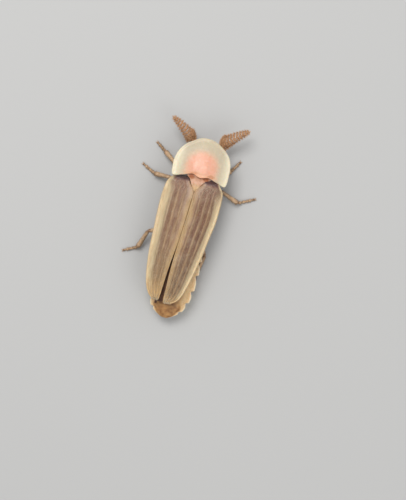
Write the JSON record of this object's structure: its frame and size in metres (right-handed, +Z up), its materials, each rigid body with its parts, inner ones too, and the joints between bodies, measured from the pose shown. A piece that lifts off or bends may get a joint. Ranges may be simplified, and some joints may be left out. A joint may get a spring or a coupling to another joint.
{
  "type": "firefly",
  "caption": "Still, life-size firefly with comb antennae, a pale shield over the head, ribbed brown wing covers and spread legs.",
  "frame": {"origin": "on the floor, under the middle of the whole animal with its legs and antennae", "axes": "+Z up, -Y towards the head, +X towards the animal's left"},
  "size_m": [0.01, 0.0166, 0.0035],
  "materials": {
    "head_skin": "smooth brown cuticle, slightly glossy",
    "eye": "black, finely faceted and glossy",
    "pronotum_shell": "pale cream shell with a pink middle",
    "scutellum_shell": "pinkish orange shell",
    "underside_skin": "amber brown cuticle with fine hairs",
    "elytron_shell": "brown, ribbed wing cover with pale margins",
    "hindwing_membrane": "dark brown folded membrane",
    "lantern_skin": "pale yellow light organ, unlit",
    "leg_skin": "tan brown with fine hairs",
    "antenna_skin": "tan brown, feathery with fine hairs"
  },
  "bodies": {
    "root": {"head": "head_skin", "eye_left": "eye", "eye_right": "eye", "mouthparts": "head_skin", "pronotum": "pronotum_shell", "prothorax": "underside_skin", "scutellum": "scutellum_shell", "pterothorax": "underside_skin", "elytron_left": "elytron_shell", "elytron_right": "elytron_shell", "hindwing_left": "hindwing_membrane", "hindwing_right": "hindwing_membrane", "abdomen": "underside_skin", "lantern_front": "lantern_skin", "lantern_rear": "lantern_skin", "pygidium": "underside_skin", "leg_front_left": "leg_skin", "leg_front_right": "leg_skin", "leg_middle_left": "leg_skin", "leg_middle_right": "leg_skin", "leg_hind_left": "leg_skin", "leg_hind_right": "leg_skin", "antenna_left": "antenna_skin", "antenna_right": "antenna_skin"}
  },
  "joints": []
}
